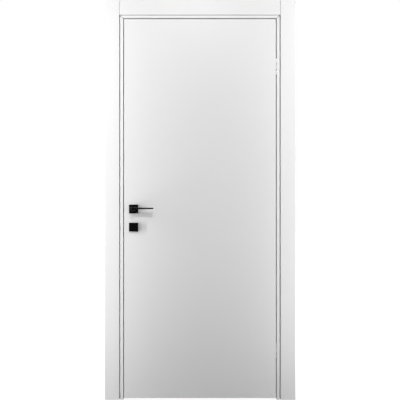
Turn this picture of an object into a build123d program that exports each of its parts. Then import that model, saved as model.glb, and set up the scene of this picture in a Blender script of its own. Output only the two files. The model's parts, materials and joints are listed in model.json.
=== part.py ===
from build123d import *
import os

# A flush interior door in its frame, closed. +Z is up and the side that opens towards the viewer faces -Y.
# The origin is on the outer face of the hinge-side jamb, at floor level, halfway through the wall.

# Leaf
leaf_width = 800.0
leaf_height = 2000.0
leaf_thickness = 40.0
skin_thickness = 3.0
stile_width = 35.0
floor_gap = 10.0
lock_bevel = 1.5
leaf_arris = 1.0

# Frame
wall_depth = 100.0
jamb_thickness = 32.0
stop_projection = 15.0
edge_gap = 5.0
stop_gap = 5.0
frame_reveal = 15.0
frame_arris = 1.0

# Casings on both faces of the wall, flush with the frame's edges
casing_width = 78.0
casing_thickness = 10.0
casing_arris = 1.0
side_joint = 6.0
head_joint = 2.5
joint_groove = 14.0
board_joint = 3.0
board_tongue = 2.0
mitre_joint = 2.8
mitre_groove = 8.0

# Rubber seal in the stop
seal_root_width = 3.0
seal_root_depth = 5.0
seal_bulb_width = 7.0
seal_inset = 5.5
seal_clearance = 0.5

# Swing axis and concealed hinges
pivot_forward = 1.0
hinge_end_distance = 250.0
hinge_radius = 13.5
arm_thickness = 4.5
arm_height = 22.0
arm_pitch = 30.0
arm_count = 3
arm_half_span = 72.0
arm_clearance = 0.5
arm_end_clearance = 1.5
cup_front_edge = 2.0
cup_width = 17.0
cup_depth = 13.8
cup_height = 100.0
flange_height = 126.0
flange_thickness = 3.0
seat_clearance = 0.15

# Lock in the leaf and its striking plate
spindle_height = 1008.0
backset = 50.0
turn_spacing = 96.0
case_thickness = 15.0
case_depth = 80.0
case_above_spindle = 45.0
case_below_turn = 35.0
case_bore = 12.5
forend_width = 22.0
forend_height = 235.0
forend_thickness = 3.0
forend_corner = 2.0
bolt_clearance = 0.5
bolt_length = 28.0
bolt_corner = 1.0
latch_thickness = 10.0
latch_height = 24.0
latch_above_spindle = 6.0
privacy_bolt_thickness = 8.0
privacy_bolt_height = 20.0
skin_bore = 20.0
strike_width = 24.0
strike_height = 190.0
strike_thickness = 2.0
strike_corner = 2.0
strike_pocket_depth = 14.0
strike_pocket_side = 2.0
strike_hole_side = 1.0

# Handle set
rose_width = 48.0
rose_height = 46.0
rose_thickness = 10.0
rose_corner = 2.0
rose_arris = 1.0
collar_diameter = 17.0
collar_clearance = 0.3
collar_start = 1.0
neck_side = 20.0
neck_clearance = 0.8
lever_stand_off = 50.0
lever_reach = 106.0
blade_depth = 22.0
blade_top_at_neck = 8.2
blade_bottom_at_neck = -0.8
blade_top_at_tip = 6.6
blade_bottom_at_tip = 0.2
lever_arris = 0.8
spindle_side = 8.0
spindle_clearance = 0.1
spindle_engagement = 25.0

# Privacy turn and its release disc
disc_diameter = 14.0
disc_proud = 0.8
coin_slot_length = 10.0
coin_slot_width = 2.0
coin_slot_depth = 1.5
turn_spindle_side = 6.0
turn_spindle_engagement = 6.0
thumb_length = 27.0
thumb_width = 9.0
thumb_projection = 18.0
thumb_corner = 2.0
thumb_arris = 1.5

# Places across the door, along X
jamb_face_x = -jamb_thickness
hinge_edge_x = jamb_face_x - edge_gap
lock_edge_x = hinge_edge_x - leaf_width
lock_jamb_face_x = lock_edge_x - edge_gap
lock_jamb_outer_x = lock_jamb_face_x - jamb_thickness
strip_edge_x = jamb_face_x + frame_reveal
lock_strip_edge_x = lock_jamb_face_x - frame_reveal
casing_inner_x = strip_edge_x + side_joint
lock_casing_inner_x = lock_strip_edge_x - side_joint
spindle_x = lock_edge_x + backset
pivot_x = jamb_face_x - edge_gap / 2

# Places through the wall, along Y
wall_front_y = -wall_depth / 2
wall_back_y = wall_depth / 2
front_y = wall_front_y - casing_thickness
back_y = wall_back_y + casing_thickness
groove_front_y = wall_front_y + joint_groove
groove_back_y = wall_back_y - joint_groove
leaf_back_y = front_y + leaf_thickness
leaf_mid_y = front_y + leaf_thickness / 2
stop_y = leaf_back_y + stop_gap
pivot_y = front_y - pivot_forward
cup_mid_y = front_y + cup_front_edge + cup_width / 2

# Heights, along Z
leaf_top_z = floor_gap + leaf_height
head_face_z = leaf_top_z + edge_gap
head_top_z = head_face_z + jamb_thickness
strip_edge_z = head_face_z + frame_reveal
casing_inner_z = strip_edge_z + head_joint
casing_top_z = casing_inner_z + casing_width
turn_z = spindle_height - turn_spacing
latch_z = spindle_height + latch_above_spindle
forend_z = spindle_height - turn_spacing / 2
case_bottom_z = turn_z - case_below_turn
case_top_z = spindle_height + case_above_spindle
hinge_heights = {
    "upper": leaf_top_z - hinge_end_distance,
    "lower": floor_gap + hinge_end_distance,
}

# The latch bolt and the privacy bolt: mid-height, thickness and height
bolts = (
    (latch_z, latch_thickness, latch_height),
    (turn_z, privacy_bolt_thickness, privacy_bolt_height),
)

# Planes that cut or carry several pieces
hinge_mitre = Plane(origin=(jamb_face_x, 0, head_face_z), x_dir=(0, 1, 0), z_dir=(-1, 0, 1))
lock_mitre = Plane(origin=(lock_jamb_face_x, 0, head_face_z), x_dir=(0, 1, 0), z_dir=(1, 0, 1))
lock_edge_plane = Plane(
    origin=(lock_edge_x, front_y, 0),
    x_dir=(lock_bevel, leaf_thickness, 0),
    z_dir=(-leaf_thickness, lock_bevel, 0),
)
leaf_mid_plane = Plane.XZ.offset(-leaf_mid_y)
wall_mid_plane = Plane.XZ


def edge_plane(height):
    """The leaf's lock edge at the middle of its thickness and at a height, facing out of the leaf."""
    return Plane(
        origin=(lock_edge_x + lock_bevel / 2, leaf_mid_y, height),
        x_dir=(lock_bevel, leaf_thickness, 0),
        z_dir=(-leaf_thickness, lock_bevel, 0),
    )


def strike_plane(height):
    """The lock jamb's face at the middle of the leaf's thickness and at a height, facing into the jamb."""
    return Plane(origin=(lock_jamb_face_x, leaf_mid_y, height), x_dir=(0, -1, 0), z_dir=(-1, 0, 0))


def arm_heights(height):
    """The mid-heights of one hinge's arms."""
    return [height + (i - (arm_count - 1) / 2) * arm_pitch for i in range(arm_count)]


def ring_sector(inner_radius, outer_radius, half_span):
    """A closed outline about the swing axis, centred on the direction into the wall."""
    outer = CenterArc((pivot_x, pivot_y), outer_radius, 90 - half_span, 2 * half_span)
    inner = CenterArc((pivot_x, pivot_y), inner_radius, 90 - half_span, 2 * half_span)
    Line(outer @ 0, inner @ 0)
    Line(outer @ 1, inner @ 1)


def hinge_block(side, height, extra):
    """A hinge's housing without its channels, wider all round by a clearance.

    side is 1 in the jamb and -1 in the leaf.
    """
    face_x = jamb_face_x if side > 0 else hinge_edge_x
    mouth = Plane(origin=(face_x, cup_mid_y, height), x_dir=(0, side, 0), z_dir=(side, 0, 0))
    with BuildPart() as block:
        with BuildSketch(mouth):
            SlotOverall(flange_height + 2 * extra, cup_width + 2 * extra, rotation=90)
        extrude(amount=flange_thickness)
        with BuildSketch(mouth):
            Rectangle(cup_width + 2 * extra, cup_height + 2 * extra)
        extrude(amount=cup_depth)
    return block.part


def hinge_cup(side, height):
    """A hinge's housing with its flange and the curved channels for its arms."""
    with BuildPart() as cup:
        add(hinge_block(side, height, 0))
        for arm_z in arm_heights(height):
            with BuildSketch(Plane.XY.offset(arm_z)):
                with BuildLine():
                    ring_sector(
                        hinge_radius - arm_thickness / 2 - arm_clearance,
                        hinge_radius + arm_thickness / 2 + arm_clearance,
                        arm_half_span + arm_end_clearance,
                    )
                make_face()
            extrude(amount=arm_height / 2 + arm_clearance, both=True, mode=Mode.SUBTRACT)
    return cup


def jamb_outline(side, face_x):
    """A jamb's section, rebated for the casings and grooved beside them.

    side is 1 at the hinges and -1 at the lock.
    """
    outer_x = face_x + side * jamb_thickness
    strip_x = face_x + side * frame_reveal
    casing_x = strip_x + side * side_joint
    Polyline(
        (face_x, front_y),
        (strip_x, front_y),
        (strip_x, groove_front_y),
        (casing_x, groove_front_y),
        (casing_x, wall_front_y),
        (outer_x, wall_front_y),
        (outer_x, wall_back_y),
        (casing_x, wall_back_y),
        (casing_x, groove_back_y),
        (strip_x, groove_back_y),
        (strip_x, back_y),
        (face_x, back_y),
        close=True,
    )


def stop_outline(place):
    """A stop's section with the seal's groove.

    place turns a height off the jamb's face and a Y into a point.
    """
    groove_low = seal_inset - seal_root_width / 2
    groove_high = seal_inset + seal_root_width / 2
    groove_y = stop_y + seal_root_depth
    Polyline(
        place(0, stop_y),
        place(stop_projection - groove_high, stop_y),
        place(stop_projection - groove_high, groove_y),
        place(stop_projection - groove_low, groove_y),
        place(stop_projection - groove_low, stop_y),
        place(stop_projection, stop_y),
        place(stop_projection, back_y),
        place(0, back_y),
        close=True,
    )


def seal_outline(place):
    """A seal's section: a root in the groove and a half-round bulb that reaches for the leaf.

    place turns a distance across the stop and a depth into it, both from the seal's middle, into a point.
    """
    reach = stop_gap - seal_clearance
    half_root = seal_root_width / 2
    half_bulb = seal_bulb_width / 2
    shoulder = reach - half_bulb
    ThreePointArc(place(-half_bulb, -shoulder), place(0, -reach), place(half_bulb, -shoulder))
    Polyline(
        place(half_bulb, -shoulder),
        place(half_bulb, 0),
        place(half_root, 0),
        place(half_root, seal_root_depth),
        place(-half_root, seal_root_depth),
        place(-half_root, 0),
        place(-half_bulb, 0),
        place(-half_bulb, -shoulder),
    )


# Frame: two jambs and a head, mitred at the corners


def mitre_grooves(mitre):
    """The narrow grooves along a mitre in both edges of the frame, as a solid to cut away."""
    with BuildPart() as grooves:
        with BuildSketch(mitre):
            with Locations((front_y, 0), (back_y, 0)):
                Rectangle(2 * mitre_groove, 4 * jamb_thickness)
        extrude(amount=mitre_joint / 2, both=True)
    return grooves.part


def strip_edges(piece):
    """The edges of a frame piece's two narrow faces that show beside the casings."""
    ordered = piece.faces().sort_by(Axis.Y)
    return ordered[0].edges() + ordered[-1].edges()


with BuildPart() as hinge_jamb:
    with BuildSketch(Plane.XY):
        with BuildLine():
            jamb_outline(1, jamb_face_x)
        make_face()
    extrude(amount=head_top_z)
    split(bisect_by=hinge_mitre, keep=Keep.BOTTOM)
    add(mitre_grooves(hinge_mitre), mode=Mode.SUBTRACT)
    chamfer(strip_edges(hinge_jamb), length=frame_arris)
    for height in hinge_heights.values():
        add(hinge_block(1, height, seat_clearance), mode=Mode.SUBTRACT)

with BuildPart() as lock_jamb:
    with BuildSketch(Plane.XY):
        with BuildLine():
            jamb_outline(-1, lock_jamb_face_x)
        make_face()
    extrude(amount=head_top_z)
    split(bisect_by=lock_mitre, keep=Keep.BOTTOM)
    add(mitre_grooves(lock_mitre), mode=Mode.SUBTRACT)
    chamfer(strip_edges(lock_jamb), length=frame_arris)
    with BuildSketch(strike_plane(forend_z)):
        RectangleRounded(strike_width, strike_height, strike_corner)
    extrude(amount=strike_thickness, mode=Mode.SUBTRACT)
    for height, thickness, bolt_height in bolts:
        with BuildSketch(strike_plane(height)):
            Rectangle(thickness + 2 * strike_pocket_side, bolt_height + 2 * strike_pocket_side)
        extrude(amount=strike_pocket_depth, mode=Mode.SUBTRACT)

with BuildPart() as head_jamb:
    with BuildSketch(Plane.YZ.offset(lock_jamb_outer_x)):
        with BuildLine():
            Polyline(
                (front_y, head_face_z),
                (front_y, strip_edge_z),
                (groove_front_y, strip_edge_z),
                (groove_front_y, casing_inner_z),
                (wall_front_y, casing_inner_z),
                (wall_front_y, head_top_z),
                (wall_back_y, head_top_z),
                (wall_back_y, casing_inner_z),
                (groove_back_y, casing_inner_z),
                (groove_back_y, strip_edge_z),
                (back_y, strip_edge_z),
                (back_y, head_face_z),
                close=True,
            )
        make_face()
    extrude(amount=-lock_jamb_outer_x)
    split(bisect_by=hinge_mitre, keep=Keep.TOP)
    split(bisect_by=lock_mitre, keep=Keep.TOP)
    add(mitre_grooves(hinge_mitre), mode=Mode.SUBTRACT)
    add(mitre_grooves(lock_mitre), mode=Mode.SUBTRACT)
    chamfer(strip_edges(head_jamb), length=frame_arris)

# Stops planted on the frame, mitred like it


def side_stop(side, face_x, mitre):
    """The stop on one jamb."""
    with BuildPart() as strip:
        with BuildSketch(Plane.XY):
            with BuildLine():
                stop_outline(lambda off_face, y: (face_x - side * off_face, y))
            make_face()
        extrude(amount=head_top_z)
        split(bisect_by=mitre, keep=Keep.BOTTOM)
    return strip


hinge_side_stop = side_stop(1, jamb_face_x, hinge_mitre)
lock_side_stop = side_stop(-1, lock_jamb_face_x, lock_mitre)

with BuildPart() as head_stop:
    with BuildSketch(Plane.YZ.offset(lock_jamb_outer_x)):
        with BuildLine():
            stop_outline(lambda off_face, y: (y, head_face_z - off_face))
        make_face()
    extrude(amount=-lock_jamb_outer_x)
    split(bisect_by=hinge_mitre, keep=Keep.TOP)
    split(bisect_by=lock_mitre, keep=Keep.TOP)

# Seal strips, mitred like the frame


def side_seal(side, face_x, mitre):
    """The strip in one jamb's stop."""
    centre_x = face_x - side * (stop_projection - seal_inset)
    with BuildPart() as strip:
        with BuildSketch(Plane.XY):
            with BuildLine():
                seal_outline(lambda across, depth: (centre_x + across, stop_y + depth))
            make_face()
        extrude(amount=head_top_z)
        split(bisect_by=mitre, keep=Keep.BOTTOM)
    return strip


hinge_side_seal = side_seal(1, jamb_face_x, hinge_mitre)
lock_side_seal = side_seal(-1, lock_jamb_face_x, lock_mitre)

head_seal_z = head_face_z - (stop_projection - seal_inset)

with BuildPart() as head_seal:
    with BuildSketch(Plane.YZ.offset(lock_jamb_outer_x)):
        with BuildLine():
            seal_outline(lambda across, depth: (stop_y + depth, head_seal_z + across))
        make_face()
    extrude(amount=-lock_jamb_outer_x)
    split(bisect_by=hinge_mitre, keep=Keep.TOP)
    split(bisect_by=lock_mitre, keep=Keep.TOP)

# Casings: the side boards run to the top and the head board stands between them


def casing(low_x, high_x, low_z, high_z, tongue=0):
    """A flat board on the front of the wall, its front edges eased.

    tongue is how far a thin back layer reaches past both ends, to close the joints there.
    """
    board_back = Plane(
        origin=((low_x + high_x) / 2, wall_front_y, (low_z + high_z) / 2), x_dir=(1, 0, 0), z_dir=(0, -1, 0)
    )
    with BuildPart() as board:
        with BuildSketch(board_back):
            Rectangle(high_x - low_x, high_z - low_z)
        extrude(amount=casing_thickness)
        chamfer(board.faces().sort_by(Axis.Y)[0].edges(), length=casing_arris)
        if tongue:
            with BuildSketch(board_back):
                Rectangle(high_x - low_x + 2 * tongue, high_z - low_z)
            extrude(amount=board_tongue)
    return board


def on_the_back(board):
    """The same board on the back of the wall."""
    with BuildPart() as back_board:
        mirror(board.part, about=wall_mid_plane)
    return back_board


front_casing_hinge_side = casing(casing_inner_x, casing_inner_x + casing_width, 0, casing_top_z)
front_casing_lock_side = casing(lock_casing_inner_x - casing_width, lock_casing_inner_x, 0, casing_top_z)
front_casing_head = casing(
    lock_casing_inner_x + board_joint,
    casing_inner_x - board_joint,
    casing_inner_z,
    casing_top_z,
    tongue=board_joint,
)
back_casing_hinge_side = on_the_back(front_casing_hinge_side)
back_casing_lock_side = on_the_back(front_casing_lock_side)
back_casing_head = on_the_back(front_casing_head)

# Leaf: two skins on a ring of stiles and rails with a core between


def leaf_block(low_x, high_x, low_z, high_z):
    """Solid wood between the two skins."""
    with BuildPart() as block:
        with BuildSketch(Plane.XY.offset(low_z)):
            with Locations(((low_x + high_x) / 2, leaf_mid_y)):
                Rectangle(high_x - low_x, leaf_thickness - 2 * skin_thickness)
        extrude(amount=high_z - low_z)
    return block


def spindle_bores(diameter):
    """Both spindles' bores through the leaf, as solids to cut away."""
    with BuildPart() as bores:
        with BuildSketch(leaf_mid_plane):
            with Locations((spindle_x, spindle_height), (spindle_x, turn_z)):
                Circle(diameter / 2)
        extrude(amount=leaf_thickness / 2, both=True)
    return bores.part


def lock_seat():
    """The pockets for the forend and the lock's case, as a solid to cut away."""
    with BuildPart() as seat:
        with BuildSketch(edge_plane(forend_z)):
            RectangleRounded(forend_width, forend_height, forend_corner)
        extrude(amount=-forend_thickness)
        with BuildSketch(edge_plane((case_top_z + case_bottom_z) / 2)):
            Rectangle(case_thickness, case_top_z - case_bottom_z)
        extrude(amount=-(forend_thickness + case_depth))
    return seat.part


core_low_x = lock_edge_x + stile_width
core_high_x = hinge_edge_x - stile_width
rail_low_z = floor_gap + stile_width
rail_high_z = leaf_top_z - stile_width

with BuildPart() as leaf_front_skin:
    with BuildSketch(Plane.XZ.offset(-front_y)):
        with Locations(((lock_edge_x + hinge_edge_x) / 2, (floor_gap + leaf_top_z) / 2)):
            Rectangle(leaf_width, leaf_height)
    extrude(amount=-skin_thickness)
    split(bisect_by=lock_edge_plane, keep=Keep.BOTTOM)
    add(spindle_bores(skin_bore), mode=Mode.SUBTRACT)
    chamfer(leaf_front_skin.faces().sort_by(Axis.Y)[0].outer_wire().edges(), length=leaf_arris)
    for height in hinge_heights.values():
        add(hinge_block(-1, height, seat_clearance), mode=Mode.SUBTRACT)

with BuildPart() as leaf_back_skin:
    with BuildSketch(Plane.XZ.offset(-leaf_back_y)):
        with Locations(((lock_edge_x + hinge_edge_x) / 2, (floor_gap + leaf_top_z) / 2)):
            Rectangle(leaf_width, leaf_height)
    extrude(amount=skin_thickness)
    split(bisect_by=lock_edge_plane, keep=Keep.BOTTOM)
    add(spindle_bores(skin_bore), mode=Mode.SUBTRACT)
    chamfer(leaf_back_skin.faces().sort_by(Axis.Y)[-1].outer_wire().edges(), length=leaf_arris)

with BuildPart() as leaf_hinge_edge:
    add(leaf_block(core_high_x, hinge_edge_x, floor_gap, leaf_top_z).part)
    for height in hinge_heights.values():
        add(hinge_block(-1, height, seat_clearance), mode=Mode.SUBTRACT)

with BuildPart() as leaf_lock_edge:
    add(leaf_block(lock_edge_x, core_low_x, floor_gap, leaf_top_z).part)
    split(bisect_by=lock_edge_plane, keep=Keep.BOTTOM)
    add(lock_seat(), mode=Mode.SUBTRACT)

leaf_top_edge = leaf_block(core_low_x, core_high_x, rail_high_z, leaf_top_z)
leaf_bottom_edge = leaf_block(core_low_x, core_high_x, floor_gap, rail_low_z)

with BuildPart() as leaf_core:
    add(leaf_block(core_low_x, core_high_x, rail_low_z, rail_high_z).part)
    add(lock_seat(), mode=Mode.SUBTRACT)
    add(spindle_bores(skin_bore), mode=Mode.SUBTRACT)

# Lock in the leaf


def bolt_outline(thickness, height, extra):
    """A bolt's section, wider all round by a clearance."""
    RectangleRounded(thickness + 2 * extra, height + 2 * extra, bolt_corner)


with BuildPart() as lock_forend:
    with BuildSketch(edge_plane(forend_z)):
        RectangleRounded(forend_width, forend_height, forend_corner)
    extrude(amount=-forend_thickness)
    for height, thickness, bolt_height in bolts:
        with BuildSketch(edge_plane(height)):
            bolt_outline(thickness, bolt_height, bolt_clearance)
        extrude(amount=-forend_thickness, mode=Mode.SUBTRACT)

with BuildPart() as lock_case:
    case_face = edge_plane((case_top_z + case_bottom_z) / 2).offset(-forend_thickness)
    with BuildSketch(case_face):
        Rectangle(case_thickness, case_top_z - case_bottom_z)
    extrude(amount=-case_depth)
    for height, thickness, bolt_height in bolts:
        with BuildSketch(edge_plane(height)):
            bolt_outline(thickness, bolt_height, bolt_clearance)
        extrude(amount=-(bolt_length + bolt_clearance), mode=Mode.SUBTRACT)
    add(spindle_bores(case_bore), mode=Mode.SUBTRACT)


def bolt(height, thickness, bolt_height):
    """A bolt drawn back until its end is flush with the forend."""
    with BuildPart() as block:
        with BuildSketch(edge_plane(height)):
            bolt_outline(thickness, bolt_height, 0)
        extrude(amount=-bolt_length)
    return block


latch_bolt = bolt(*bolts[0])
privacy_bolt = bolt(*bolts[1])

with BuildPart() as strike_plate:
    with BuildSketch(strike_plane(forend_z)):
        RectangleRounded(strike_width, strike_height, strike_corner)
    extrude(amount=strike_thickness)
    for height, thickness, bolt_height in bolts:
        with BuildSketch(strike_plane(height)):
            bolt_outline(thickness, bolt_height, strike_hole_side)
        extrude(amount=strike_thickness, mode=Mode.SUBTRACT)

# Concealed hinges: housings in the jamb and the leaf, and curved arms that slide through both

upper_frame_hinge_cup = hinge_cup(1, hinge_heights["upper"])
lower_frame_hinge_cup = hinge_cup(1, hinge_heights["lower"])
upper_leaf_hinge_cup = hinge_cup(-1, hinge_heights["upper"])
lower_leaf_hinge_cup = hinge_cup(-1, hinge_heights["lower"])


def hinge_arms(height):
    """One hinge's curved arms about the swing axis."""
    with BuildPart() as arms:
        for arm_z in arm_heights(height):
            with BuildSketch(Plane.XY.offset(arm_z)):
                with BuildLine():
                    ring_sector(
                        hinge_radius - arm_thickness / 2,
                        hinge_radius + arm_thickness / 2,
                        arm_half_span,
                    )
                make_face()
            extrude(amount=arm_height / 2, both=True)
    return arms


upper_hinge_arms = hinge_arms(hinge_heights["upper"])
lower_hinge_arms = hinge_arms(hinge_heights["lower"])

# Handle set: roses on both faces, levers on one spindle


def front_plane(depth, height):
    """A plane that faces the viewer, at the spindle's X, a depth in front of the leaf and a height."""
    return Plane(origin=(spindle_x, front_y - depth, height), x_dir=(1, 0, 0), z_dir=(0, -1, 0))


def rose(height, bore):
    """A square rose on the front of the leaf with a bore for what turns in it."""
    with BuildPart() as plate:
        with BuildSketch(front_plane(0, height)):
            RectangleRounded(rose_width, rose_height, rose_corner)
        extrude(amount=rose_thickness)
        chamfer(plate.faces().sort_by(Axis.Y)[0].edges(), length=rose_arris)
        with BuildSketch(front_plane(0, height)):
            Circle(bore / 2)
        extrude(amount=rose_thickness, mode=Mode.SUBTRACT)
    return plate


def on_the_leaf_back(front_piece):
    """The same piece on the back of the leaf."""
    with BuildPart() as back_piece:
        mirror(front_piece.part, about=leaf_mid_plane)
    return back_piece


front_lever_rose = rose(spindle_height, collar_diameter + 2 * collar_clearance)
front_privacy_rose = rose(turn_z, disc_diameter + 2 * collar_clearance)
back_lever_rose = on_the_leaf_back(front_lever_rose)
back_privacy_rose = on_the_leaf_back(front_privacy_rose)

with BuildPart() as blade:
    with BuildSketch(front_plane(lever_stand_off - blade_depth, spindle_height)):
        with BuildLine():
            Polyline(
                (0, blade_bottom_at_neck),
                (lever_reach, blade_bottom_at_tip),
                (lever_reach, blade_top_at_tip),
                (0, blade_top_at_neck),
                close=True,
            )
        make_face()
    extrude(amount=blade_depth)
    fillet(blade.edges(), radius=lever_arris)

with BuildPart() as front_lever:
    with BuildSketch(front_plane(rose_thickness + neck_clearance, spindle_height)):
        Rectangle(neck_side, neck_side)
    extrude(amount=lever_stand_off - rose_thickness - neck_clearance)
    fillet(front_lever.edges(), radius=lever_arris)
    add(blade.part)
    with BuildSketch(front_plane(collar_start, spindle_height)):
        Circle(collar_diameter / 2)
    extrude(amount=rose_thickness + neck_clearance - collar_start)
    with BuildSketch(front_plane(0, spindle_height)):
        Rectangle(spindle_side + 2 * spindle_clearance, spindle_side + 2 * spindle_clearance)
    extrude(amount=spindle_engagement + spindle_clearance, mode=Mode.SUBTRACT)

back_lever = on_the_leaf_back(front_lever)

with BuildPart() as lever_spindle:
    with BuildSketch(leaf_mid_plane):
        with Locations((spindle_x, spindle_height)):
            Rectangle(spindle_side, spindle_side)
    extrude(amount=leaf_thickness / 2 + spindle_engagement, both=True)

# Privacy turn on the back and its release disc on the front

with BuildPart() as release_disc:
    with BuildSketch(front_plane(collar_start, turn_z)):
        Circle(disc_diameter / 2)
    extrude(amount=rose_thickness + disc_proud - collar_start)
    with BuildSketch(front_plane(rose_thickness + disc_proud, turn_z)):
        SlotOverall(coin_slot_length, coin_slot_width, rotation=90)
    extrude(amount=-coin_slot_depth, mode=Mode.SUBTRACT)
    with BuildSketch(front_plane(0, turn_z)):
        Rectangle(turn_spindle_side + 2 * spindle_clearance, turn_spindle_side + 2 * spindle_clearance)
    extrude(amount=turn_spindle_engagement + spindle_clearance, mode=Mode.SUBTRACT)

with BuildPart() as thumb_turn_as_front:
    with BuildSketch(front_plane(collar_start, turn_z)):
        Circle(disc_diameter / 2)
    extrude(amount=rose_thickness + neck_clearance - collar_start)
    with BuildSketch(front_plane(rose_thickness + neck_clearance, turn_z)):
        RectangleRounded(thumb_width, thumb_length, thumb_corner)
    extrude(amount=thumb_projection)
    chamfer(thumb_turn_as_front.faces().sort_by(Axis.Y)[0].edges(), length=thumb_arris)
    with BuildSketch(front_plane(0, turn_z)):
        Rectangle(turn_spindle_side + 2 * spindle_clearance, turn_spindle_side + 2 * spindle_clearance)
    extrude(amount=turn_spindle_engagement + spindle_clearance, mode=Mode.SUBTRACT)

thumb_turn = on_the_leaf_back(thumb_turn_as_front)

with BuildPart() as turn_spindle:
    with BuildSketch(leaf_mid_plane):
        with Locations((spindle_x, turn_z)):
            Rectangle(turn_spindle_side, turn_spindle_side)
    extrude(amount=leaf_thickness / 2 + turn_spindle_engagement, both=True)

pieces = {
    "hinge_jamb": hinge_jamb,
    "lock_jamb": lock_jamb,
    "head_jamb": head_jamb,
    "hinge_side_stop": hinge_side_stop,
    "lock_side_stop": lock_side_stop,
    "head_stop": head_stop,
    "front_casing_hinge_side": front_casing_hinge_side,
    "front_casing_lock_side": front_casing_lock_side,
    "front_casing_head": front_casing_head,
    "back_casing_hinge_side": back_casing_hinge_side,
    "back_casing_lock_side": back_casing_lock_side,
    "back_casing_head": back_casing_head,
    "hinge_side_seal": hinge_side_seal,
    "lock_side_seal": lock_side_seal,
    "head_seal": head_seal,
    "strike_plate": strike_plate,
    "upper_frame_hinge_cup": upper_frame_hinge_cup,
    "lower_frame_hinge_cup": lower_frame_hinge_cup,
    "upper_leaf_hinge_cup": upper_leaf_hinge_cup,
    "lower_leaf_hinge_cup": lower_leaf_hinge_cup,
    "upper_hinge_arms": upper_hinge_arms,
    "lower_hinge_arms": lower_hinge_arms,
    "leaf_front_skin": leaf_front_skin,
    "leaf_back_skin": leaf_back_skin,
    "leaf_hinge_edge": leaf_hinge_edge,
    "leaf_lock_edge": leaf_lock_edge,
    "leaf_top_edge": leaf_top_edge,
    "leaf_bottom_edge": leaf_bottom_edge,
    "leaf_core": leaf_core,
    "lock_forend": lock_forend,
    "lock_case": lock_case,
    "latch_bolt": latch_bolt,
    "privacy_bolt": privacy_bolt,
    "front_lever_rose": front_lever_rose,
    "back_lever_rose": back_lever_rose,
    "front_privacy_rose": front_privacy_rose,
    "back_privacy_rose": back_privacy_rose,
    "front_lever": front_lever,
    "back_lever": back_lever,
    "lever_spindle": lever_spindle,
    "release_disc": release_disc,
    "thumb_turn": thumb_turn,
    "turn_spindle": turn_spindle,
}

os.makedirs("parts", exist_ok=True)
for label, piece in pieces.items():
    piece.part.label = label
    export_step(piece.part, f"parts/{label}.step")
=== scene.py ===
import json
import math

import bmesh
import bpy
from mathutils import Matrix, Vector


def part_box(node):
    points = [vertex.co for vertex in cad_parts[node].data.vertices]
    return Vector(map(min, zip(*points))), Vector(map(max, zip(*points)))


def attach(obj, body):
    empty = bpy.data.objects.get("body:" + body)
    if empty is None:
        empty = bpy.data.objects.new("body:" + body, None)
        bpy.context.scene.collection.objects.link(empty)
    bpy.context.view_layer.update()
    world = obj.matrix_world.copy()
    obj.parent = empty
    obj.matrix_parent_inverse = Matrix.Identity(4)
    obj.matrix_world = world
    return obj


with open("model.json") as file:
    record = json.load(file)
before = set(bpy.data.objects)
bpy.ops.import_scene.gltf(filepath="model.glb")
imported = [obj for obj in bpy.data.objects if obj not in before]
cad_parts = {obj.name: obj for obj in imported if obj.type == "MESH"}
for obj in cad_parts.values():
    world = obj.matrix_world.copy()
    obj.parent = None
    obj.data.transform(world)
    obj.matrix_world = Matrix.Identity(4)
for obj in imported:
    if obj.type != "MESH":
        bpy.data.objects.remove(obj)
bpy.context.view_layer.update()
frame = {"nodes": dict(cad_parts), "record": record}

bl_info = {
    "name": "Interior Door Set",
    "version": (1, 0, 0),
    "blender": (4, 5, 0),
    "location": "View3D > Sidebar > Door",
    "description": "Dresses a flush interior door in its frame with finishes and screws, in a studio",
    "category": "Object",
}

# Nodes of the frame by finish
WOODWORK = (
    "hinge_jamb",
    "lock_jamb",
    "head_jamb",
    "hinge_side_stop",
    "lock_side_stop",
    "head_stop",
    "front_casing_hinge_side",
    "front_casing_lock_side",
    "front_casing_head",
    "back_casing_hinge_side",
    "back_casing_lock_side",
    "back_casing_head",
    "leaf_front_skin",
    "leaf_back_skin",
    "leaf_hinge_edge",
    "leaf_lock_edge",
    "leaf_top_edge",
    "leaf_bottom_edge",
)
SEALS = ("hinge_side_seal", "lock_side_seal", "head_seal")
BLACK_PLATES = (
    "front_lever_rose",
    "back_lever_rose",
    "front_privacy_rose",
    "back_privacy_rose",
    "release_disc",
)
BLACK_HANDLES = ("front_lever", "back_lever", "thumb_turn")
FLAT_STEEL = ("strike_plate", "lock_forend", "lock_case")
TURNED_STEEL = (
    "latch_bolt",
    "privacy_bolt",
    "lever_spindle",
    "turn_spindle",
    "upper_hinge_arms",
    "lower_hinge_arms",
)
HINGE_CUPS = (
    "upper_frame_hinge_cup",
    "lower_frame_hinge_cup",
    "upper_leaf_hinge_cup",
    "lower_leaf_hinge_cup",
)

# Sockets of a colour Mix node
MIX_FACTOR = 0
MIX_FIRST = 6
MIX_SECOND = 7
MIX_RESULT = 2

# A normal's largest part along an axis, where the surface is all rounded edge and where it is flat
EDGE_REACH = (0.86, 0.985)

# Modelling: angles in radians, and the cosine above which a face counts as facing along a direction
SMOOTH_ANGLE = math.radians(30)
FACES_ALONG = 0.99
FIRST_SCREW_TURN = 0.4
SCREW_TURN_STEP = 0.9
GRUB_TURN = 0.3

# Studio, in metres from the middle of the picture on the leaf's face
AIM_HEIGHT = 0.15
TOP_LAMP_OFFSET = (0.0, -1.95, 1.65)
TOP_LAMP_SIZE = (0.4, 0.2)
BACK_LAMP_SIDE = 1.3
BACK_LAMP_DEPTH = 2.0
BACK_LAMP_HEIGHT = 1.2
BACK_LAMP_SIZE = (1.0, 1.0)
FLOOR_SHADOW_REACH = (0.3, 1.7)
FLOOR_SHADOW_STRETCH = (0.7, 1.0, 1.0)


def grey(level):
    """A neutral colour."""
    return (level, level, level, 1.0)


def opaque(color):
    """A property's three numbers as a socket's four."""
    return (color[0], color[1], color[2], 1.0)


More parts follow.
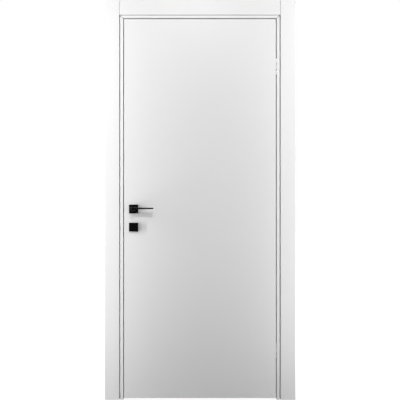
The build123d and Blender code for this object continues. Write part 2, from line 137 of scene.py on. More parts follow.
def darker(color, share):
    """The same colour with a share of its light."""
    return (color[0] * share, color[1] * share, color[2] * share, 1.0)


class Value:
    """One output of a material's node. The usual operators on it add Math nodes."""

    def __init__(self, recipe, socket):
        self.recipe = recipe
        self.socket = socket

    def __add__(self, other):
        return self.recipe.calculate("ADD", self, other)

    __radd__ = __add__

    def __sub__(self, other):
        return self.recipe.calculate("SUBTRACT", self, other)

    def __mul__(self, other):
        return self.recipe.calculate("MULTIPLY", self, other)

    __rmul__ = __mul__


class Recipe:
    """The nodes of one material or world."""

    def __init__(self, owner):
        self.owner = owner
        owner.use_nodes = True
        self.nodes = owner.node_tree.nodes
        self.links = owner.node_tree.links
        self.nodes.clear()

    def node(self, kind, settings=None, inputs=None, output=0):
        """Adds a node, sets its settings and then its sockets, and returns one of its outputs."""
        new = self.nodes.new(kind)
        for name, setting in (settings or {}).items():
            if name == "stops":
                self.set_stops(new.color_ramp, setting)
            else:
                setattr(new, name, setting)
        for name, value in (inputs or {}).items():
            if isinstance(value, Value):
                self.links.new(value.socket, new.inputs[name])
            else:
                new.inputs[name].default_value = value
        if not new.outputs:
            return None
        return Value(self, new.outputs[output])

    def set_stops(self, ramp, stops):
        """Sets a ramp's colours at their positions."""
        while len(ramp.elements) < len(stops):
            ramp.elements.new(1.0)
        for element, (position, color) in zip(ramp.elements, stops):
            element.position = position
            element.color = color

    def calculate(self, operation, first, second):
        """A Math node on two values."""
        return self.node("ShaderNodeMath", {"operation": operation}, {0: first, 1: second})

    def place(self, scale=(1.0, 1.0, 1.0)):
        """A point of the object, in metres, stretched by a scale."""
        point = self.node("ShaderNodeTexCoord", output="Object")
        return self.node("ShaderNodeMapping", None, {"Vector": point, "Scale": scale})

    def noise(self, point, scale, detail=2.0):
        """Soft noise from 0 to 1 whose patches are about one scale-th of a metre."""
        return self.node("ShaderNodeTexNoise", None, {"Vector": point, "Scale": scale, "Detail": detail})

    def rounded_edges(self):
        """1 where the surface slants between the object's axes and 0 where it faces along one of them."""
        normal = self.node("ShaderNodeTexCoord", output="Normal")
        sizes = []
        for axis in ("X", "Y", "Z"):
            part = self.node("ShaderNodeSeparateXYZ", None, {"Vector": normal}, axis)
            sizes.append(self.node("ShaderNodeMath", {"operation": "ABSOLUTE"}, {0: part}))
        along = self.calculate("MAXIMUM", self.calculate("MAXIMUM", sizes[0], sizes[1]), sizes[2])
        return self.fade(along, EDGE_REACH, (1.0, 0.0))

    def fade(self, value, reach, results):
        """A value eased from one result to the other over its reach."""
        sockets = {
            "Value": value,
            "From Min": reach[0],
            "From Max": reach[1],
            "To Min": results[0],
            "To Max": results[1],
        }
        return self.node("ShaderNodeMapRange", {"interpolation_type": "SMOOTHSTEP"}, sockets)

    def mix(self, factor, first, second):
        """A colour between two."""
        sockets = {MIX_FACTOR: factor, MIX_FIRST: first, MIX_SECOND: second}
        return self.node("ShaderNodeMix", {"data_type": "RGBA"}, sockets, MIX_RESULT)

    def bump(self, height, strength, distance):
        """A surface normal from a height, at a distance in metres."""
        sockets = {"Height": height, "Strength": strength, "Distance": distance}
        return self.node("ShaderNodeBump", None, sockets)

    def surface(self, **inputs):
        """The shader and the output. Names have _ where the sockets have a space."""
        sockets = {name.replace("_", " "): value for name, value in inputs.items()}
        shader = self.node("ShaderNodeBsdfPrincipled", None, sockets)
        self.node("ShaderNodeOutputMaterial", None, {"Surface": shader})
        return self.owner


def new_recipe(name):
    """A material with no nodes yet."""
    return Recipe(bpy.data.materials.new(name))


# Finishes


def sprayed_enamel(finishes):
    """Satin white lacquer: a faint orange peel and a slow drift in tone and sheen."""
    recipe = new_recipe("sprayed_enamel")
    point = recipe.place()
    peel = recipe.noise(point, 300.0)
    drift = recipe.noise(point, 2.5, 3.0)
    color = opaque(finishes.enamel_color)
    return recipe.surface(
        Base_Color=recipe.mix(drift, darker(color, 0.985), color),
        Roughness=finishes.enamel_roughness + 0.08 * (drift - 0.5) + 0.06 * (peel - 0.5),
        Normal=recipe.bump(peel, 0.3, 0.00003),
    )


def black_coating(recipe, finishes):
    """The grain, clouds, colour and roughness of the dry, sandy black coating."""
    point = recipe.place()
    grain = recipe.noise(point, 2600.0)
    cloud = recipe.noise(point, 45.0, 4.0)
    color = opaque(finishes.black_color)
    coating = recipe.mix(cloud, darker(color, 0.75), color)
    roughness = finishes.black_roughness + 0.14 * (cloud - 0.5) + 0.1 * (grain - 0.5)
    return grain, cloud, coating, roughness


def coated_black(finishes):
    """Matt black coating on metal."""
    recipe = new_recipe("coated_black")
    grain, _, coating, roughness = black_coating(recipe, finishes)
    return recipe.surface(
        Base_Color=coating,
        Roughness=roughness,
        Specular_IOR_Level=finishes.black_gloss,
        Normal=recipe.bump(grain, 0.35, 0.00003),
    )


def rubbed_and_highlit_black(finishes):
    """The same coating, paler and smoother along its rounded edges: partly wear from hands, partly a painted
    highlight where the edges would catch the lamps.
    """
    recipe = new_recipe("rubbed_and_highlit_black")
    grain, cloud, coating, roughness = black_coating(recipe, finishes)
    # Painted highlight and wear: every rounded edge gets a paler colour, whatever the light, standing partly
    # for rubbing and partly for the lamps' glints on the edges
    wear_and_highlight = recipe.rounded_edges() * (0.7 + 0.6 * cloud)
    return recipe.surface(
        Base_Color=recipe.mix(wear_and_highlight, coating, opaque(finishes.rubbed_and_highlight_color)),
        Roughness=roughness - 0.12 * wear_and_highlight,
        Specular_IOR_Level=finishes.black_gloss,
        Normal=recipe.bump(grain, 0.35, 0.00003),
    )


def brushed_steel(finishes):
    """Steel brushed along its height."""
    recipe = new_recipe("brushed_steel")
    streak = recipe.noise(recipe.place((3200.0, 3200.0, 26.0)), 1.0, 4.0)
    cloud = recipe.noise(recipe.place(), 60.0, 3.0)
    color = opaque(finishes.steel_color)
    return recipe.surface(
        Base_Color=recipe.mix(streak, darker(color, 0.82), color),
        Metallic=1.0,
        Roughness=0.24 + 0.2 * streak + 0.08 * cloud,
        Normal=recipe.bump(streak, 0.25, 0.00002),
    )


def drawn_steel(finishes):
    """Steel with a finer grain across it, on bolts, spindles and hinge arms."""
    recipe = new_recipe("drawn_steel")
    streak = recipe.noise(recipe.place((60.0, 60.0, 2600.0)), 1.0, 4.0)
    cloud = recipe.noise(recipe.place(), 120.0, 3.0)
    color = opaque(finishes.steel_color)
    return recipe.surface(
        Base_Color=recipe.mix(streak, darker(color, 0.86), color),
        Metallic=1.0,
        Roughness=0.26 + 0.12 * streak + 0.1 * cloud,
        Normal=recipe.bump(streak, 0.2, 0.00002),
    )


def cast_zinc(finishes):
    """Die-cast zinc with a satin plating: a fine even grain with duller patches."""
    recipe = new_recipe("cast_zinc")
    point = recipe.place()
    grain = recipe.noise(point, 1400.0, 3.0)
    cloud = recipe.noise(point, 80.0, 4.0)
    color = opaque(finishes.zinc_color)
    return recipe.surface(
        Base_Color=recipe.mix(cloud, darker(color, 0.88), color),
        Metallic=1.0,
        Roughness=0.38 + 0.14 * cloud + 0.06 * grain,
        Normal=recipe.bump(grain, 0.3, 0.00003),
    )


def screw_steel(finishes):
    """Bright plating on a screw head, with fine scratches from the driver."""
    recipe = new_recipe("screw_steel")
    point = recipe.place()
    scratch = recipe.noise(recipe.place((900.0, 900.0, 5200.0)), 1.0, 3.0)
    cloud = recipe.noise(point, 700.0, 2.0)
    color = opaque(finishes.screw_color)
    return recipe.surface(
        Base_Color=recipe.mix(cloud, darker(color, 0.85), color),
        Metallic=1.0,
        Roughness=0.2 + 0.14 * scratch + 0.06 * cloud,
        Normal=recipe.bump(scratch, 0.25, 0.00001),
    )


def socket_shadow(finishes):
    """The same metal down in a driver's recess, much darker: painted shade for the depth of the recess."""
    recipe = new_recipe("socket_shadow")
    cloud = recipe.noise(recipe.place(), 1600.0, 3.0)
    color = opaque(finishes.screw_color)
    return recipe.surface(
        # Painted shade: the recess is 6 to 16 per cent as bright as the plating, standing for the shade down
        # in the recess
        Base_Color=recipe.mix(cloud, darker(color, 0.06), darker(color, 0.16)),
        Metallic=1.0,
        Roughness=0.5 + 0.2 * cloud,
        Normal=recipe.bump(cloud, 0.3, 0.00002),
    )


def seal_rubber(finishes):
    """Soft rubber with a dry bloom."""
    recipe = new_recipe("seal_rubber")
    point = recipe.place()
    grain = recipe.noise(point, 900.0, 3.0)
    bloom = recipe.noise(point, 25.0, 4.0)
    color = opaque(finishes.rubber_color)
    return recipe.surface(
        Base_Color=recipe.mix(bloom, darker(color, 0.86), color),
        Roughness=0.66 + 0.16 * (bloom - 0.5) + 0.08 * (grain - 0.5),
        Normal=recipe.bump(grain, 0.3, 0.00004),
    )


def pressed_chips(finishes):
    """Chipboard: flat flakes of several tans."""
    recipe = new_recipe("pressed_chips")
    point = recipe.place((1.0, 1.0, 0.6))
    chips = {"Vector": point, "Scale": 260.0}
    flakes = recipe.node("ShaderNodeTexVoronoi", None, chips, "Color")
    depth = recipe.node("ShaderNodeTexVoronoi", None, chips, "Distance")
    tone = recipe.node("ShaderNodeSeparateColor", None, {"Color": flakes}, "Red")
    fibre = recipe.noise(point, 1500.0, 3.0)
    color = opaque(finishes.core_color)
    shares = ((0.0, 0.6), (0.45, 0.85), (0.8, 1.0), (1.0, 1.15))
    stops = [(position, darker(color, share)) for position, share in shares]
    tan = recipe.node("ShaderNodeValToRGB", {"stops": stops}, {"Fac": tone}, "Color")
    return recipe.surface(
        Base_Color=tan,
        Roughness=0.78 + 0.12 * (fibre - 0.5),
        Normal=recipe.bump(fibre - depth, 0.4, 0.0003),
    )


FINISH_MAKERS = {
    "sprayed_enamel": sprayed_enamel,
    "coated_black": coated_black,
    "rubbed_and_highlit_black": rubbed_and_highlit_black,
    "brushed_steel": brushed_steel,
    "drawn_steel": drawn_steel,
    "cast_zinc": cast_zinc,
    "screw_steel": screw_steel,
    "socket_shadow": socket_shadow,
    "seal_rubber": seal_rubber,
    "pressed_chips": pressed_chips,
}


def finish(name):
    """A finish by name, made the first time that it is asked for."""
    found = bpy.data.materials.get(name)
    if found is None:
        found = FINISH_MAKERS[name](bpy.context.scene.door_finishes)
    return found


def paint_nodes(names, finish_name):
    """Gives CAD nodes a finish."""
    for name in names:
        node = frame["nodes"].get(name)
        if node is None:
            raise RuntimeError(f"the frame has no node named {name}")
        if not node.material_slots:
            raise RuntimeError(f"the node {name} has no material slot")
        for material_slot in node.material_slots:
            material_slot.material = finish(finish_name)


# Modelling


def clear_selection():
    """Leaves nothing selected before a new primitive is added."""
    if bpy.context.object is not None and bpy.context.object.mode != "OBJECT":
        bpy.ops.object.mode_set(mode="OBJECT")
    bpy.ops.object.select_all(action="DESELECT")


def pick(*objects):
    """Selects these objects alone and makes the first one active."""
    clear_selection()
    for obj in objects:
        obj.select_set(True)
    bpy.context.view_layer.objects.active = objects[0]


def pick_faces(piece, wanted):
    """In edit mode, selects the faces whose centre and normal pass a test."""
    bpy.ops.mesh.select_mode(type="FACE")
    bpy.ops.mesh.select_all(action="DESELECT")
    shape = bmesh.from_edit_mesh(piece.data)
    found = 0
    for face in shape.faces:
        chosen = wanted(face.calc_center_median(), face.normal)
        face.select_set(chosen)
        found += chosen
    bmesh.update_edit_mesh(piece.data)
    if not found:
        raise RuntimeError(f"no face of {piece.name} is where it was looked for")


def cut_away(piece, cutter):
    """Cuts one object out of another and deletes the cutter."""
    modifier = piece.modifiers.new("cut", "BOOLEAN")
    modifier.operation = "DIFFERENCE"
    modifier.object = cutter
    modifier.solver = "EXACT"
    pick(piece)
    bpy.ops.object.modifier_apply(modifier=modifier.name)
    bpy.data.objects.remove(cutter)


def copies(pattern, name, places):
    """One object of a pattern at several places, each copy with its own mesh."""
    made = []
    for place in places:
        copy = pattern.copy()
        copy.data = pattern.data.copy()
        bpy.context.scene.collection.objects.link(copy)
        copy.matrix_world = place
        made.append(copy)
    pick(*made)
    if len(made) > 1:
        bpy.ops.object.join()
    piece = bpy.context.object
    piece.name = name
    bpy.ops.object.transform_apply(location=True, rotation=True, scale=True)
    return piece


def facing(position, outward, turn):
    """A place whose Z axis points outward, turned about it by an angle."""
    quaternion = Vector(outward).to_track_quat("Z", "Y")
    spin = Matrix.Rotation(turn, 4, "Z")
    return Matrix.Translation(position) @ quaternion.to_matrix().to_4x4() @ spin


def plate_and_shade_recess(piece, radius, top):
    """Gives a screw its two finishes: plating, and painted shade on the recess inside a radius and below a
    height.
    """
    piece.data.materials.clear()
    piece.data.materials.append(finish("screw_steel"))
    piece.data.materials.append(finish("socket_shadow"))
    pick(piece)
    bpy.ops.object.mode_set(mode="EDIT")
    pick_faces(piece, lambda centre, normal: centre.xy.length < radius and centre.z < top)
    piece.active_material_index = 1
    bpy.ops.object.material_slot_assign()
    bpy.ops.object.mode_set(mode="OBJECT")


def cross_head_screw(sizes):
    """A low domed screw head with a cross recess, seated at the origin and facing up."""
    radius = sizes.screw_diameter / 2
    rim = sizes.screw_proud * 0.45
    sunk = sizes.screw_sunk
    clear_selection()
    bpy.ops.mesh.primitive_cylinder_add(
        vertices=40, radius=radius, depth=rim + sunk, location=(0, 0, (rim - sunk) / 2)
    )
    head = bpy.context.object
    bpy.ops.object.transform_apply(location=True)
    bpy.ops.object.mode_set(mode="EDIT")
    middle = radius / 50
    steps = ((0.12, 0.3), (0.2, 0.17), (0.26, 0.08))
    for inset_share, rise_share in steps:
        pick_faces(head, lambda centre, normal: normal.z > FACES_ALONG and centre.xy.length < middle)
        bpy.ops.mesh.inset(thickness=radius * inset_share, depth=0)
        bpy.ops.transform.translate(value=(0, 0, sizes.screw_proud * rise_share))
    bpy.ops.object.mode_set(mode="OBJECT")

    arm = radius * 0.17
    reach = radius * 0.52
    floor = sizes.screw_proud * 0.12
    deep = sizes.screw_proud * 2
    clear_selection()
    bpy.ops.mesh.primitive_cube_add(size=1, location=(0, 0, floor + deep / 2), scale=(arm * 2, arm * 2, deep))
    cutter = bpy.context.object
    bpy.ops.object.transform_apply(location=True, rotation=True, scale=True)
    bpy.ops.object.mode_set(mode="EDIT")
    for direction in ((1, 0), (-1, 0), (0, 1), (0, -1)):
        heading = Vector((direction[0], direction[1], 0))
        pick_faces(cutter, lambda centre, normal: normal.dot(heading) > FACES_ALONG)
        bpy.ops.mesh.extrude_region_move(TRANSFORM_OT_translate={"value": heading * (reach - arm)})
    bpy.ops.object.mode_set(mode="OBJECT")
    cut_away(head, cutter)
    plate_and_shade_recess(head, reach * 1.05, rim)
    pick(head)
    bpy.ops.object.shade_smooth_by_angle(angle=SMOOTH_ANGLE)
    return head


def grub_screw(sizes):
    """The end of a socket set screw with a hexagon in it, seated at the origin and facing up."""
    radius = sizes.grub_diameter / 2
    proud = sizes.grub_proud
    sunk = sizes.screw_sunk
    clear_selection()
    bpy.ops.mesh.primitive_cylinder_add(
        vertices=32, radius=radius, depth=proud + sunk, location=(0, 0, (proud - sunk) / 2)
    )
    head = bpy.context.object
    bpy.ops.object.transform_apply(location=True)
    bpy.ops.object.mode_set(mode="EDIT")
    pick_faces(head, lambda centre, normal: normal.z > FACES_ALONG)
    bpy.ops.mesh.inset(thickness=radius * 0.14, depth=0)
    bpy.ops.transform.translate(value=(0, 0, proud * 0.3))
    bpy.ops.object.mode_set(mode="OBJECT")

    hexagon = radius * 0.58
    height = proud * 4
    middle = proud * 2.15
    clear_selection()
    bpy.ops.mesh.primitive_cylinder_add(vertices=6, radius=hexagon, depth=height, location=(0, 0, middle))
    cutter = bpy.context.object
    bpy.ops.object.transform_apply(location=True)
    cut_away(head, cutter)
    plate_and_shade_recess(head, radius * 0.6, proud)
    pick(head)
    bpy.ops.object.shade_smooth_by_angle(angle=SMOOTH_ANGLE)
    return head


# Properties


class DoorFinishes(bpy.types.PropertyGroup):
    """Colours and sheens of the door set."""

    enamel_color: bpy.props.FloatVectorProperty(
        name="Enamel",
        description="Colour of the sprayed lacquer on the leaf, frame and casings",
        subtype="COLOR",
        min=0.0,
        max=1.0,
        default=(0.8, 0.8, 0.8),
    )
    enamel_roughness: bpy.props.FloatProperty(
        name="Enamel roughness",
        description="0 is a mirror, 1 is dead matt",
        subtype="FACTOR",
        min=0.0,
        max=1.0,
        default=0.4,
    )
    black_color: bpy.props.FloatVectorProperty(
        name="Fittings",
        description="Colour of the coating on levers, roses and the privacy turn",
        subtype="COLOR",
        min=0.0,
        max=1.0,
        default=(0.0015, 0.0015, 0.0015),
    )
    # Painted highlight: the paler colour of the fittings' rounded edges stands partly for wear from hands and
    # partly for the lamps' highlights on those edges
    rubbed_and_highlight_color: bpy.props.FloatVectorProperty(
        name="Fittings' edges",
        description="Colour of the coating where hands have rubbed its rounded edges",
        subtype="COLOR",
        min=0.0,
        max=1.0,
        default=(0.2, 0.2, 0.2),
    )
    black_roughness: bpy.props.FloatProperty(
        name="Fittings roughness",
        description="0 is a mirror, 1 is dead matt",
        subtype="FACTOR",
        min=0.0,
        max=1.0,
        default=0.42,
    )
    black_gloss: bpy.props.FloatProperty(
        name="Fittings gloss",
        description="How much of the room the coating mirrors, from 0 for none to 0.5 for usual paint",
        subtype="FACTOR",
        min=0.0,
        max=1.0,
        default=0.04,
    )
    steel_color: bpy.props.FloatVectorProperty(
        name="Steel",
        description="Colour of the lock's plates, bolts, spindles and hinge arms",
        subtype="COLOR",
        min=0.0,
        max=1.0,
        default=(0.6, 0.59, 0.57),
    )
    zinc_color: bpy.props.FloatVectorProperty(
        name="Hinge housings",
        description="Colour of the plating on the hinge housings",
        subtype="COLOR",
        min=0.0,
        max=1.0,
        default=(0.5, 0.5, 0.49),
    )
    screw_color: bpy.props.FloatVectorProperty(
        name="Screws",
        description="Colour of the screws' plating",
        subtype="COLOR",
        min=0.0,
        max=1.0,
        default=(0.68, 0.68, 0.67),
    )
    rubber_color: bpy.props.FloatVectorProperty(
        name="Seals",
        description="Colour of the rubber seals in the stops",
        subtype="COLOR",
        min=0.0,
        max=1.0,
        default=(0.3, 0.3, 0.3),
    )
    core_color: bpy.props.FloatVectorProperty(
        name="Core",
        description="Lightest colour of the chipboard inside the leaf",
        subtype="COLOR",
        min=0.0,
        max=1.0,
        default=(0.52, 0.36, 0.2),
    )


class DoorScrews(bpy.types.PropertyGroup):
    """Sizes of the screws that show when the leaf stands open."""

    screw_diameter: bpy.props.FloatProperty(
        name="Screw head",
        description="Diameter of a cross-head screw's head",
        unit="LENGTH",
        min=0.004,
        max=0.01,
        default=0.0078,
    )
    screw_proud: bpy.props.FloatProperty(
        name="Head height",
        description="How far a head stands above its plate",
        unit="LENGTH",
        min=0.0002,
        max=0.001,
        default=0.0006,
    )
    screw_sunk: bpy.props.FloatProperty(
        name="Sunk depth",
        description="How far a head reaches into its plate",
        unit="LENGTH",
        min=0.0001,
        max=0.001,
        default=0.0003,
    )
    screw_end_distance: bpy.props.FloatProperty(
        name="End distance",
        description="From a plate's end to the middle of its screw",
        unit="LENGTH",
        min=0.005,
        max=0.02,
        default=0.008,
    )
    grub_diameter: bpy.props.FloatProperty(
        name="Grub screw",
        description="Diameter of the set screw under a lever's neck",
        unit="LENGTH",
        min=0.003,
        max=0.006,
        default=0.005,
    )
    grub_proud: bpy.props.FloatProperty(
        name="Grub screw height",
        description="How far the set screw stands below the neck",
        unit="LENGTH",
        min=0.0001,
        max=0.001,
        default=0.0003,
    )
    grub_setback: bpy.props.FloatProperty(
        name="Grub screw setback",
        description="From the end of the neck beside the rose to the middle of the set screw",
        unit="LENGTH",
        min=0.004,
        max=0.02,
        default=0.0075,
    )


class DoorStudio(bpy.types.PropertyGroup):
    """The camera, lamps and floor around the door."""

    camera_distance: bpy.props.FloatProperty(
        name="Camera distance",
        description="From the camera to the leaf's front face",
        unit="LENGTH",
        min=2.0,
        max=20.0,
        default=4.0,
    )
    view_height: bpy.props.FloatProperty(
        name="View height",
        description="Height of the picture at the leaf's front face, measured up from the floor",
        unit="LENGTH",
        min=1.0,
        max=5.0,
        default=2.1105,
    )
    floor_size: bpy.props.FloatProperty(
        name="Floor",
        description="Side of the square floor",
        unit="LENGTH",
        min=5.0,
        max=100.0,
        default=40.0,
    )
    floor_glow: bpy.props.FloatProperty(
        name="Floor glow",
        description="Light that the floor shows to the camera beside the door, where 1 hides every shadow",
        subtype="FACTOR",
        min=0.0,
        max=1.0,
        default=0.85,
    )
    key_power: bpy.props.FloatProperty(
        name="Top lamp",
        description="Power of the lamp above and in front, in watts",
        min=0.0,
        max=500.0,
        default=20.5,
    )
    left_power: bpy.props.FloatProperty(
        name="Left lamp",
        description="Power of the tall lamp that grazes the door from the left, in watts",
        min=0.0,
        max=500.0,
        default=14.3,
    )
    left_fill_power: bpy.props.FloatProperty(
        name="Left fill",
        description="Power of the tall lamp close to the left casing, in watts",
        min=0.0,
        max=100.0,
        default=4.9,
    )
    right_fill_power: bpy.props.FloatProperty(
        name="Right fill",
        description="Power of the tall lamp close to the right casing, in watts",
        min=0.0,
        max=100.0,
        default=6.0,
    )
    back_power: bpy.props.FloatProperty(
        name="Back lamps",
        description="Power of each of the two lamps behind, in watts",
        min=0.0,
        max=500.0,
        default=26.0,
    )
    world_level: bpy.props.FloatProperty(
        name="Room light",
        description="Strength of the even light from all around",
        min=0.0,
        max=1.0,
        default=0.2,
    )


# Operators


class DOOR_OT_finish_woodwork(bpy.types.Operator):
    """Finish the leaf, the frame and the casings"""

    bl_idname = "door.finish_woodwork"
    bl_label = "Finish woodwork"

    def execute(self, context):
        paint_nodes(WOODWORK, "sprayed_enamel")
        paint_nodes(("leaf_core",), "pressed_chips")
        return {"FINISHED"}


class DOOR_OT_finish_seals(bpy.types.Operator):
    """Finish the rubber seals in the stops"""

    bl_idname = "door.finish_seals"
    bl_label = "Finish seals"

    def execute(self, context):
        paint_nodes(SEALS, "seal_rubber")
        return {"FINISHED"}


class DOOR_OT_finish_handles(bpy.types.Operator):
    """Finish the levers, the roses and the privacy turn"""

    bl_idname = "door.finish_handles"
    bl_label = "Finish handles"

    def execute(self, context):
        paint_nodes(BLACK_PLATES, "coated_black")
        paint_nodes(BLACK_HANDLES, "rubbed_and_highlit_black")
        return {"FINISHED"}


class DOOR_OT_finish_ironmongery(bpy.types.Operator):
    """Finish the lock, its striking plate, the spindles and the hinges"""

    bl_idname = "door.finish_ironmongery"
    bl_label = "Finish ironmongery"

    def execute(self, context):
        paint_nodes(FLAT_STEEL, "brushed_steel")
        paint_nodes(TURNED_STEEL, "drawn_steel")
        paint_nodes(HINGE_CUPS, "cast_zinc")
        return {"FINISHED"}


class DOOR_OT_fit_screws(bpy.types.Operator):
    """Fit cross-head screws in the hinge flanges, the lock's forend and the striking plate"""

    bl_idname = "door.fit_screws"
    bl_label = "Fit screws"

    def execute(self, context):
        sizes = context.scene.door_screws
        pattern = cross_head_screw(sizes)
        turn = FIRST_SCREW_TURN
        for name in HINGE_CUPS + ("strike_plate", "lock_forend"):
            low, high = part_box(name)
            in_frame = name in frame["record"]["behaviour"]["bodies"]["frame"]
            places = []
            for end_z in (low.z + sizes.screw_end_distance, high.z - sizes.screw_end_distance):
                position, outward = self.mouth(name, low, high, end_z)
                places.append(facing(position, outward, turn))
                turn += SCREW_TURN_STEP
            screws = copies(pattern, f"{name}_screws", places)
            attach(screws, "frame" if in_frame else "leaf")
        bpy.data.objects.remove(pattern)
        return {"FINISHED"}

    def mouth(self, name, low, high, height):
        """The middle of a plate's face at a height, and the way that it faces."""
        middle_y = (low.y + high.y) / 2
        if name in ("lower_frame_hinge_cup", "upper_frame_hinge_cup"):
            return Vector((low.x, middle_y, height)), (-1, 0, 0)
        if name == "lock_forend":
            front_low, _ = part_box("leaf_front_skin")
            back_low, back_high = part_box("leaf_back_skin")
            edge = Vector((back_low.x - front_low.x, back_high.y - front_low.y, 0))
            position = Vector((front_low.x + (middle_y - front_low.y) * edge.x / edge.y, middle_y, height))
            return position, (-edge.y, edge.x, 0)
        return Vector((high.x, middle_y, height)), (1, 0, 0)


class DOOR_OT_fit_grub_screws(bpy.types.Operator):
    """Fit the set screw under each lever's neck"""

    bl_idname = "door.fit_grub_screws"
    bl_label = "Fit grub screws"

    def execute(self, context):
        sizes = context.scene.door_screws
        pattern = grub_screw(sizes)
        for side, outward in (("front", -1), ("back", 1)):
            rose_low, rose_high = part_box(f"{side}_lever_rose")
            lever_low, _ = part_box(f"{side}_lever")
            rose_face = rose_low.y if outward < 0 else rose_high.y
            middle_x = (rose_low.x + rose_high.x) / 2
            position = Vector((middle_x, rose_face + outward * sizes.grub_setback, lever_low.z))
            grub = copies(pattern, f"{side}_lever_grub_screw", [facing(position, (0, 0, -1), GRUB_TURN)])
            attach(grub, "handle")
        bpy.data.objects.remove(pattern)
        return {"FINISHED"}


class DOOR_OT_build_studio(bpy.types.Operator):
    """Build the floor, the lamps, the even room light and the camera"""

    bl_idname = "door.build_studio"
    bl_label = "Build studio"

    def execute(self, context):
        studio = context.scene.door_studio
        leaf_low, leaf_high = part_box("leaf_front_skin")
        face = Vector(((leaf_low.x + leaf_high.x) / 2, leaf_low.y, studio.view_height / 2))
        self.add_floor(studio, face.x)
        self.add_world(context, studio)
        target = face + Vector((0.0, 0.0, AIM_HEIGHT))
        self.add_lamp("top_lamp", face + Vector(TOP_LAMP_OFFSET), target, TOP_LAMP_SIZE, studio.key_power)
        for name, offset, aim_x, size, spread, power in (
            ("left_lamp", (-1.5, -0.26, 0.15), -1.05, (0.04, 2.4), 100, studio.left_power),
            ("left_fill", (-0.9, -0.35, 0.15), 0.0, (0.2, 2.4), 180, studio.left_fill_power),
            ("right_fill", (1.1, -0.4, 0.2), 0.7, (0.2, 2.4), 100, studio.right_fill_power),
        ):
            position = face + Vector(offset)
            aim = Vector((face.x + aim_x, face.y, position.z))
            self.add_lamp(name, position, aim, size, power, math.radians(spread))
        for name, side in (("back_left_lamp", -1), ("back_right_lamp", 1)):
            offset = Vector((side * BACK_LAMP_SIDE, BACK_LAMP_DEPTH, BACK_LAMP_HEIGHT))
            self.add_lamp(name, face + offset, target, BACK_LAMP_SIZE, studio.back_power)
        self.add_camera(context, studio, face)
        context.scene.view_settings.view_transform = "Standard"
        return {"FINISHED"}

    def add_floor(self, studio, middle_x):
        """A pale floor, white to the camera far off, where the shadows at the door's foot have faded."""
        clear_selection()
        bpy.ops.mesh.primitive_plane_add(size=studio.floor_size, location=(middle_x, 0, 0))
        floor = bpy.context.object
        floor.name = "floor"
        recipe = new_recipe("pale_floor")
        speck = recipe.noise(recipe.place(), 40.0, 4.0)
        color = recipe.mix(speck, grey(0.34), grey(0.37))
        diffuse = recipe.node("ShaderNodeBsdfDiffuse", None, {"Color": color})
        place = {0: recipe.place(FLOOR_SHADOW_STRETCH)}
        away = recipe.node("ShaderNodeVectorMath", {"operation": "LENGTH"}, place, "Value")
        white = recipe.fade(away, FLOOR_SHADOW_REACH, (studio.floor_glow, 1.0))
        strength = white * seen_directly(recipe)
        glow = recipe.node("ShaderNodeEmission", None, {"Color": grey(1.0), "Strength": strength})
        both = recipe.node("ShaderNodeAddShader", None, {0: diffuse, 1: glow})
        recipe.node("ShaderNodeOutputMaterial", None, {"Surface": both})
        floor.data.materials.append(recipe.owner)

    def add_world(self, context, studio):
        """White to the camera and in reflections, and a plain level of light for the rest."""
        world = bpy.data.worlds.new("studio_world")
        context.scene.world = world
        recipe = Recipe(world)
        direct = seen_directly(recipe)
        strength = studio.world_level + (1.0 - studio.world_level) * direct
        background = recipe.node("ShaderNodeBackground", None, {"Color": grey(1.0), "Strength": strength})
        recipe.node("ShaderNodeOutputWorld", None, {"Surface": background})

    def add_lamp(self, name, position, target, size, power, spread=math.pi):
        """A rectangular lamp aimed at a point, whose light spreads over an angle."""
        clear_selection()
        aim = (target - position).to_track_quat("-Z", "Y").to_euler()
        bpy.ops.object.light_add(type="AREA", location=position, rotation=aim)
        lamp = bpy.context.object
        lamp.name = name
        lamp.data.shape = "RECTANGLE"
        lamp.data.size = size[0]
        lamp.data.size_y = size[1]
        lamp.data.energy = power
        lamp.data.spread = spread
        lamp.visible_camera = False

    def add_camera(self, context, studio, face):
        """A level camera in front of the leaf whose picture is as high as the view."""
        clear_selection()
        position = face + Vector((0, -studio.camera_distance, 0))
        bpy.ops.object.camera_add(location=position, rotation=(math.radians(90), 0, 0))
        camera = bpy.context.object
        camera.name = "studio_camera"
        camera.data.sensor_fit = "HORIZONTAL"
        camera.data.lens = camera.data.sensor_width * studio.camera_distance / studio.view_height
        context.scene.camera = camera


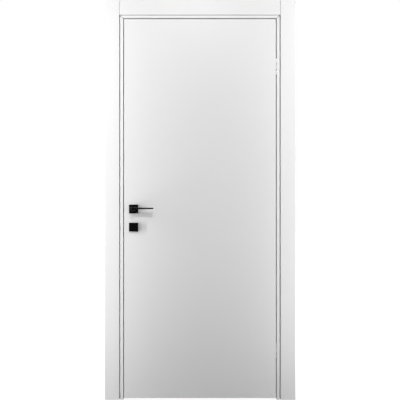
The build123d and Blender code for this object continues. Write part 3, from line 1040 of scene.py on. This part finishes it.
def seen_directly(recipe):
    """1 for camera, glossy and transmission rays and 0 for the rest."""
    camera = recipe.node("ShaderNodeLightPath", output="Is Camera Ray")
    glossy = recipe.node("ShaderNodeLightPath", output="Is Glossy Ray")
    passing = recipe.node("ShaderNodeLightPath", output="Is Transmission Ray")
    return recipe.calculate("MAXIMUM", recipe.calculate("MAXIMUM", camera, glossy), passing)


class DOOR_PT_panel(bpy.types.Panel):
    """The door set's controls"""

    bl_idname = "DOOR_PT_panel"
    bl_label = "Interior door"
    bl_space_type = "VIEW_3D"
    bl_region_type = "UI"
    bl_category = "Door"

    def draw(self, context):
        layout = self.layout
        for group in (context.scene.door_finishes, context.scene.door_screws, context.scene.door_studio):
            section = layout.box()
            for name in group.bl_rna.properties.keys():
                if name not in ("rna_type", "name"):
                    section.prop(group, name)
        for operator in OPERATORS:
            layout.operator(operator.bl_idname)


OPERATORS = (
    DOOR_OT_finish_woodwork,
    DOOR_OT_finish_seals,
    DOOR_OT_finish_handles,
    DOOR_OT_finish_ironmongery,
    DOOR_OT_fit_screws,
    DOOR_OT_fit_grub_screws,
    DOOR_OT_build_studio,
)
PROPERTY_GROUPS = (DoorFinishes, DoorScrews, DoorStudio)


def register():
    for group in PROPERTY_GROUPS:
        bpy.utils.register_class(group)
    for operator in OPERATORS:
        bpy.utils.register_class(operator)
    bpy.utils.register_class(DOOR_PT_panel)
    bpy.types.Scene.door_finishes = bpy.props.PointerProperty(type=DoorFinishes)
    bpy.types.Scene.door_screws = bpy.props.PointerProperty(type=DoorScrews)
    bpy.types.Scene.door_studio = bpy.props.PointerProperty(type=DoorStudio)


def unregister():
    del bpy.types.Scene.door_studio
    del bpy.types.Scene.door_screws
    del bpy.types.Scene.door_finishes
    bpy.utils.unregister_class(DOOR_PT_panel)
    for operator in reversed(OPERATORS):
        bpy.utils.unregister_class(operator)
    for group in reversed(PROPERTY_GROUPS):
        bpy.utils.unregister_class(group)


def main():
    register()
    bpy.ops.door.finish_woodwork()
    bpy.ops.door.finish_seals()
    bpy.ops.door.finish_handles()
    bpy.ops.door.finish_ironmongery()
    bpy.ops.door.fit_screws()
    bpy.ops.door.fit_grub_screws()
    bpy.ops.door.build_studio()


if __name__ == "__main__":
    main()
